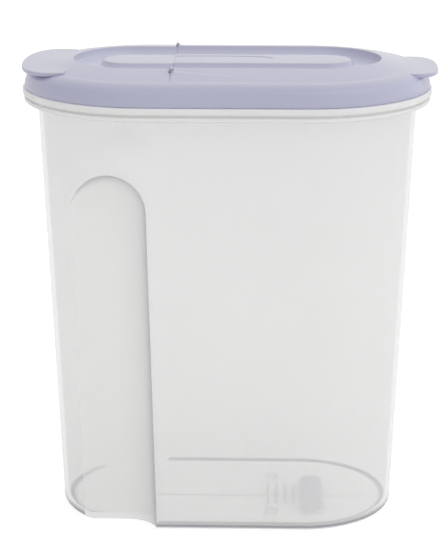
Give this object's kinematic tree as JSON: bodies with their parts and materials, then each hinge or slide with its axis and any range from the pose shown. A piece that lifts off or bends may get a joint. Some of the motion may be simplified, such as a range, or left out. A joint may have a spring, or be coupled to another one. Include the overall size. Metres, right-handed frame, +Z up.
{
  "type": "food canister",
  "caption": "Tapered oval food canister with two grip recesses, a press-on lid with a lift tab, and a flip-up pour flap over a pour opening.",
  "frame": {"origin": "centre of the tub's base, on the surface it stands on", "axes": "+Z up, +X towards the lid's lift tab, -Y towards the front"},
  "size_m": [0.2024, 0.1238, 0.2314],
  "materials": {
    "tub_plastic": "satin, milky translucent",
    "lid_plastic": "satin",
    "flap_plastic": "satin",
    "seal": "matte",
    "hinge_pin": "satin"
  },
  "bodies": {
    "tub": {"tub": "tub_plastic"},
    "lid": {"lid_body": "lid_plastic", "lid_seal": "seal", "hinge_pin_front": "hinge_pin", "hinge_pin_rear": "hinge_pin"},
    "flap": {"pour_flap": "flap_plastic", "flap_seal": "seal"}
  },
  "joints": [
    {"name": "lid_lift", "type": "slide", "parent": "tub", "child": "lid", "axis": [0, 0, 1], "range_m": [0, 0.05]},
    {"name": "flap_hinge", "type": "hinge", "parent": "lid", "child": "flap", "pos_m": [-0.02565, 0, 0.2304], "axis": [0, 1, 0], "range_deg": [0, 110]}
  ]
}
